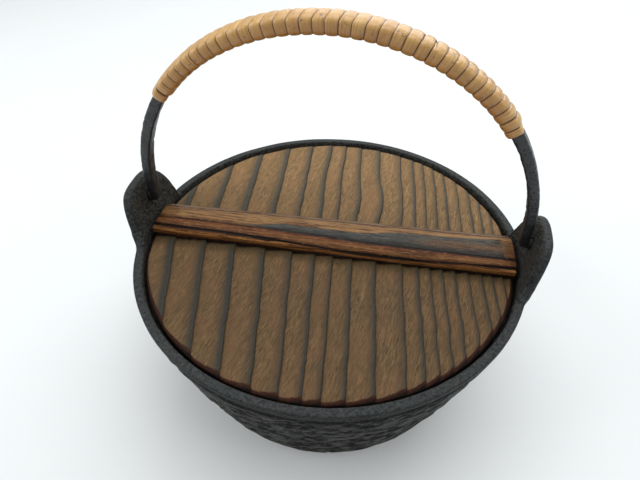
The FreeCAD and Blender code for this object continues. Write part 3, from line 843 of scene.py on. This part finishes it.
def board_surface(u, x, y):
    """Height of the brushed face, with how much of each point is ridge with the painted shadow at
    each cliff, rise and char, and the painted shade of the batten and the cliffs.
    """
    number = np.clip(np.searchsorted(RING_EDGES, u) - 1, 0, len(RING_WIDTHS) - 1)
    width = np.array(RING_WIDTHS, float)[number]
    from_edge = np.clip(u - RING_EDGES[number], 0, width)
    to_edge = width - from_edge
    ridge = 0.6 + 1.5 * smooth(0, -75, x) * (1 - 0.35 * smooth(0, 50, y))
    ridge = (ridge + 0.3 * np.sin(2.4 * number)) * np.clip(width / 10, 0.7, 1.15)
    depth = 0.80 + 0.35 * np.clip(width / 14, 0.4, 1.2)
    climb = np.clip(from_edge / (width - 0.6 * ridge), 0, 1)
    rise = climb ** 1.6
    cliff = smooth(0.55, 0.0, from_edge)
    level = np.maximum(rise, cliff)
    late_and_shadow = smooth(1.7 * ridge, 0.45 * ridge, to_edge)
    # Painted shadow: the first 0.35 mm past each cliff takes the dark ridge colour too.
    late_and_shadow = np.maximum(late_and_shadow, smooth(0.35, 0.1, from_edge))
    points = np.stack([u, y * 0.18, np.zeros_like(x)], -1)
    brushed = 0.09 * fractal(points, 1.3, 3, 10.0) * (1 - 0.5 * late_and_shadow)
    height = depth * (level - 1) + brushed - 0.08
    middle, half = batten_footprint(x)
    beside = np.abs(y - middle) - half
    # Painted shadow of the batten, olive-dark, out to 8.5 mm and four times stronger in front of
    # it; and painted contact shade within 0.9 mm of its foot.
    batten_shadow = 0.5 * smooth(8.5, 1.0, beside) * np.where(y < middle, 1.0, 0.25)
    # Painted shadow: a dark line just past each cliff, fainter at the far left.
    cliff_shadow = (0.85 - 0.25 * smooth(-20, -70, x)) * bell(from_edge - 0.38, 0.30)
    shade = np.maximum(np.maximum(batten_shadow, cliff_shadow), smooth(0.9, 0.1, beside))
    radius = np.hypot(x, y)
    wavy = 0.5 * wander(np.arctan2(y, x) * 40, 9.0, 3) - 0.5 * bell(from_edge, 1.2)
    bevel = BOARD_RADIUS - 2.4 + wavy - radius
    beyond = height - bevel
    burn = 0.5 * smooth(-0.15, 0.12, beyond) + 0.5 * smooth(0.3, 1.8, beyond)
    height = np.minimum(height, bevel)
    height = height - 4.2 * smooth(-1.2, -2.4, beside)
    return height, late_and_shadow, rise, burn, shade


def board_columns(count, radius):
    """Growth lines closely spaced at each ridge and at the two sides of the board, with the
    y of both their ends."""
    def rim(angle):
        return radius * np.cos(angle), radius * np.sin(angle)

    turn = np.linspace(math.pi / 2, 5 * math.pi / 2, 1441)
    lines = ring_count(*rim(turn))
    left, right = turn[np.argmin(lines)], turn[np.argmax(lines)]
    front_turn = np.linspace(left, right, 721)
    back_turn = np.linspace(left, right - 2 * math.pi, 721)
    front = np.maximum.accumulate(ring_count(*rim(front_turn)))
    back = np.maximum.accumulate(ring_count(*rim(back_turn)))
    low, high = max(front[0], back[0]) + 0.06, min(front[-1], back[-1]) - 0.06
    fine = np.linspace(low, high, 8001)
    nearest = np.abs(fine[:, None] - 0.15 - RING_EDGES[1:]).min(1)
    density = 1 + 6 * bell(nearest, 0.8) + 3 * bell(fine - low, 4) + 3 * bell(fine - high, 4)
    u = spread(count, fine, density)
    front_y = radius * np.sin(np.interp(u, front, front_turn))
    back_y = radius * np.sin(np.interp(u, back, back_turn))
    return u, front_y, back_y


def build_board():
    columns, lines = 560, 130
    radius = BOARD_RADIUS - 0.15
    u, front_y, back_y = board_columns(columns, radius)
    # grid over the brushed face
    share = np.linspace(0, 1, lines)
    share = 0.3 * share + 0.7 * (1 - np.cos(share * math.pi)) / 2
    y = front_y[:, None] + (back_y - front_y)[:, None] * share
    u = np.repeat(u[:, None], lines, 1)
    x = ring_line(u, y)
    for end in (0, -1):
        x[:, end] = np.sign(x[:, end]) * np.sqrt(np.clip(radius ** 2 - y[:, end] ** 2, 0, None))
    height, late_and_shadow, rise, burn, shade = board_surface(u, x, y)
    points = np.stack([x, y, BOARD_TOP + height], -1)
    faces = grid_quads(columns, lines)
    vertices = points.reshape(-1, 3).tolist()
    number = np.arange(columns * lines).reshape(columns, lines)
    loop = np.concatenate([number[:-1, 0], number[-1, :-1], number[:0:-1, -1],
                           number[0, :0:-1]])
    edge = np.array(vertices)[loop]
    values = [late_and_shadow.ravel().tolist(), rise.ravel().tolist(), burn.ravel().tolist(),
              shade.ravel().tolist()]
    # down the side and in across the underside
    rings = [loop.tolist()]
    drop = edge[:, 2].min() - BOARD_BOTTOM
    profile = [(1.0, 0.25), (1.0, 0.5), (1.0, 0.75), (1.0, 1 - 1.0 / drop),
               (1 - 0.3 / BOARD_RADIUS, 1 - 0.3 / drop), (1 - 1.0 / BOARD_RADIUS, 1.0),
               (0.9, 1.0), (0.7, 1.0), (0.4, 1.0), (0.1, 1.0)]
    for scale, down in profile:
        ring = edge.copy()
        ring[:, :2] *= scale
        ring[:, 2] += (BOARD_BOTTOM - edge[:, 2]) * down
        first = len(vertices)
        vertices += ring.tolist()
        rings.append(list(range(first, first + len(loop))))
        charred = smooth(0.86, 0.99, np.full(len(loop), scale))
        for store, amount in zip(values, (0, 0.2, charred, 0)):
            store += (np.zeros(len(loop)) + amount).tolist()
    for one, other in zip(rings, rings[1:]):
        size = len(one)
        faces += [[one[i], one[(i + 1) % size], other[(i + 1) % size], other[i]]
                  for i in range(size)]
    faces += fan(rings[-1], len(vertices))
    vertices.append([0, 0, BOARD_BOTTOM])
    for store in values:
        store.append(0.0)
    titles = ("latewood_and_cliff_shadow", "rise", "burn", "shade")
    return make_mesh("lid_plank", vertices, faces, dict(zip(titles, values)))


# ---------------------------------------------------------------------------------------------
# Batten: a low crowned bar across the lid, brushed along its layers
# ---------------------------------------------------------------------------------------------

def batten_layers(x, height, behind, half):
    """The wood's layers, which dip towards the back. behind is the distance from the front
    side. Gives the layer, its band of colour, how far the point is in the rough panel, how
    charred it is there, and the depth of the grooves."""
    layer = 0.741 * height + 0.674 * behind
    wobble = np.stack([x * 0.25, layer * 2, np.zeros_like(x)], -1)
    layer = layer + 0.22 * fractal(wobble, 7.0, 3, 11.0)
    middle = 2.95 + 2.75 * smooth(20, -60, x) + 1.97 * smooth(38, 95, x)
    low = 8.9 + 1.35 * smooth(30, -40, x)
    high = 11.5 + 2.0 * smooth(-42, -22, x) + 2.6 * smooth(15, 40, x) + 1.97 * smooth(40, 95, x)
    back = 3.56 + 1.348 * half
    marks = [0.0, middle - 0.70, middle + 0.70, low, high, back - 1.6, back]
    band = sum(np.clip((layer - one) / (other - one), 0, 1)
               for one, other in zip(marks, marks[1:]))
    end = 88.3 - 0.22 * (layer - low)
    panel = smooth(low - 0.05, low + 0.25, layer) * smooth(high + 0.15, high - 0.35, layer)
    panel = panel * smooth(-52, -30, x) * smooth(end, end - 0.8, x)
    streak = bell(layer - (low + high) / 2 - 0.2, 1.9) * smooth(36, 60, x)
    grooves = (0.50 * bell(layer - middle, 0.42) + 0.34 * bell(layer - low, 0.26)
               + 0.24 * bell(layer - back + 1.45, 0.24) + 0.22 * bell(layer - 0.2, 0.35)
               + 0.26 * bell(x - end - 0.4, 0.4) * smooth(low - 0.2, low, layer)
               * smooth(high + 0.2, high, layer)
               + 0.22 * bell(layer - high + 1.9, 0.22) * smooth(48, 58, x) * smooth(90, 86, x))
    return layer, band, panel, panel * (1 - 0.72 * streak), grooves


def build_batten():
    stations, around = 340, 130
    crown = BATTEN_TOP - BOARD_TOP - BATTEN_SIDE
    front_share, back_start = BATTEN_FRONT_SHARE, 1 - BATTEN_BACK_SHARE
    along = np.linspace(-1, 1, stations)
    along = 0.55 * along + 0.45 * np.sin(along * math.pi / 2)
    p = np.linspace(0, 1, around)
    up_front = np.clip(p / front_share, 0, 1)
    over = np.clip((p - front_share) / (back_start - front_share), 0, 1)
    down_back = np.clip((p - back_start) / BATTEN_BACK_SHARE, 0, 1)
    place = 2 * over - 1
    x = along[:, None] * BATTEN_REACH * np.ones(around)
    for _ in range(4):
        middle, half = batten_footprint(x)
        y = middle + place * half
        x = along[:, None] * np.sqrt((BATTEN_REACH - 0.1) ** 2 - y ** 2)
    height = BATTEN_SIDE + crown * (1 - np.abs(place) ** 2.1)
    height = height - (BATTEN_SIDE + BATTEN_SINK) * (1 - up_front + down_back)
    limit = BATTEN_SIDE + crown - 4.3 * np.clip((np.abs(x) - 80.5) / 13.0, 0, 1) ** 1.4
    height = np.minimum(height, limit)
    layer, band, panel, char, grooves = batten_layers(x, height, y - middle + half, half)
    corner = 0.75 * (bell(p - front_share, 0.025) + bell(p - back_start, 0.02))
    grain = np.stack([x * 0.12, layer, height * 0], -1)
    rough = 0.12 * fractal(grain, 1.1, 3, 12.0)
    hewn = 0.26 * fractal(np.stack([x * 0.35, y, height], -1), 2.4, 3, 13.0) * panel
    push = np.minimum(rough + hewn, 0.06) - grooves - 0.08 - 0.14 * panel - corner
    side = np.where(p < front_share, -1.0, np.where(p > back_start, 1.0, 0.0))
    lean = np.where(side == 0, 0.4 * place, 0) + side
    norm = np.sqrt(lean ** 2 + (side == 0))
    top = BOARD_TOP + height
    points = np.stack([x, y + lean / norm * push, top + (side == 0) / norm * push], -1)

    def end_rings(end):
        """The end face, let down from the last section to the board."""
        face = np.repeat(points[end][None], 4, 0)
        share = np.array([0.25, 0.55, 0.8, 1.0])[:, None]
        face[..., 2] += (BOARD_TOP - BATTEN_SINK - face[..., 2]) * share
        keep = 1 - share
        return face, layer[end] * keep, band[end] * keep, np.zeros((4, around))

    left = [part[::-1] for part in end_rings(0)]
    right = end_rings(-1)
    grid, layer, band, char = (np.concatenate([a, b, c]) for a, b, c in
                               zip(left, (points, layer, band, char), right))
    rings, sides = grid.shape[:2]
    vertices = grid.reshape(-1, 3).tolist()
    faces = grid_quads(rings, sides, close_columns=True)
    faces.append(list(range(sides)))
    faces.append([(rings - 1) * sides + i for i in range(sides)])
    values = {"layer": layer, "along": grid[..., 0], "band": band, "char": char}
    return make_mesh("lid_bar", vertices, faces, values)


# ---------------------------------------------------------------------------------------------
# Put the pieces on their bodies
# ---------------------------------------------------------------------------------------------

cane_look = cane_paint()
pot = make_piece(build_pot(), cast_iron_paint(), "pot", "cast_iron", "pot_body")
drill_ears(pot)
make_piece(build_bail(), steel_paint(), "handle", "blackened_steel", "bail")
make_piece(build_cane("cane_wrap_long", (-50.2, 24.6), 0.72, (0.9, 0.6), 0.8),
           cane_look, "handle", "cane", "cane_strip_long")
make_piece(build_cane("cane_wrap_short", (21.0, 52.0), 0.35, (0.9, 0.8), 0.0),
           cane_look, "handle", "cane", "cane_strip_short")
make_piece(build_board(), board_paint(), "lid", "lid_softwood", "lid_board")
make_piece(build_batten(), batten_paint(), "lid", "batten_hardwood", "lid_batten")


# ---------------------------------------------------------------------------------------------
# Floor, light and camera
# ---------------------------------------------------------------------------------------------

def build_floor():
    mesh = bpy.data.meshes.new("floor")
    shape = bmesh.new()
    bmesh.ops.create_grid(shape, x_segments=2, y_segments=2, size=6.0)
    shape.to_mesh(mesh)
    shape.free()
    floor = bpy.data.objects.new("floor", mesh)
    bpy.context.scene.collection.objects.link(floor)
    # The floor glows a little, Emission_Strength 0.14: painted light that lifts the shadows round
    # the pot and lights it from below.
    paint = Paint("pale_glowing_floor", Specular_IOR_Level=0.2, Emission_Strength=0.14,
                  Emission_Color=(1, 1, 1, 1))
    tone = paint.noise(paint.place(), 60.0, 2.0)
    colour = paint.mix(tone, (0.565, 0.590, 0.597), (0.590, 0.617, 0.624))
    mesh.materials.append(paint.finish(colour, 0.9))


def add_light(name, place, size, power, target=(0, 0, 0.08)):
    light = bpy.data.lights.new(name, "AREA")
    light.shape = "RECTANGLE"
    light.size, light.size_y = size
    light.energy = power
    lamp = bpy.data.objects.new(name, light)
    bpy.context.scene.collection.objects.link(lamp)
    lamp.location = place
    lamp.rotation_mode = "QUATERNION"
    lamp.rotation_quaternion = (Vector(target) - Vector(place)).to_track_quat("-Z", "Y")


def set_world(colour, strength):
    world = bpy.data.worlds.new("studio")
    world.use_nodes = True
    background = world.node_tree.nodes["Background"]
    background.inputs["Color"].default_value = (*colour, 1)
    background.inputs["Strength"].default_value = strength
    bpy.context.scene.world = world


def place_camera(location, azimuth, elevation, roll, lens):
    """A camera that looks level round the object by azimuth and down by elevation."""
    a, e = math.radians(azimuth), math.radians(elevation)
    back = Vector((math.sin(a) * math.cos(e), -math.cos(a) * math.cos(e), math.sin(e)))
    right = Vector((math.cos(a), math.sin(a), 0))
    up = back.cross(right)
    turn = Matrix((right, up, back)).transposed() @ Matrix.Rotation(math.radians(roll), 3, "Z")
    camera = bpy.data.objects.new("camera", bpy.data.cameras.new("camera"))
    bpy.context.scene.collection.objects.link(camera)
    camera.matrix_world = Matrix.Translation(location) @ turn.to_4x4()
    camera.data.lens = lens
    camera.data.sensor_width = 36
    camera.data.clip_start = 0.01
    bpy.context.scene.camera = camera


build_floor()
set_world((0.96, 0.98, 1.0), 0.38)
add_light("overhead", (0.05, 0.15, 1.2), (1.3, 1.0), 12.5)
add_light("back", (0.25, 1.1, 0.75), (1.5, 0.7), 8.0)
add_light("window", (-0.9, -0.25, 0.6), (0.7, 0.7), 4.5)
add_light("far_window", (1.0, -0.1, 0.6), (0.6, 0.6), 2.0)
place_camera((0.0316, -0.1865, 0.2581), 11.12, 42.83, 0.05, 27.45)
bpy.context.scene.view_settings.view_transform = "Standard"
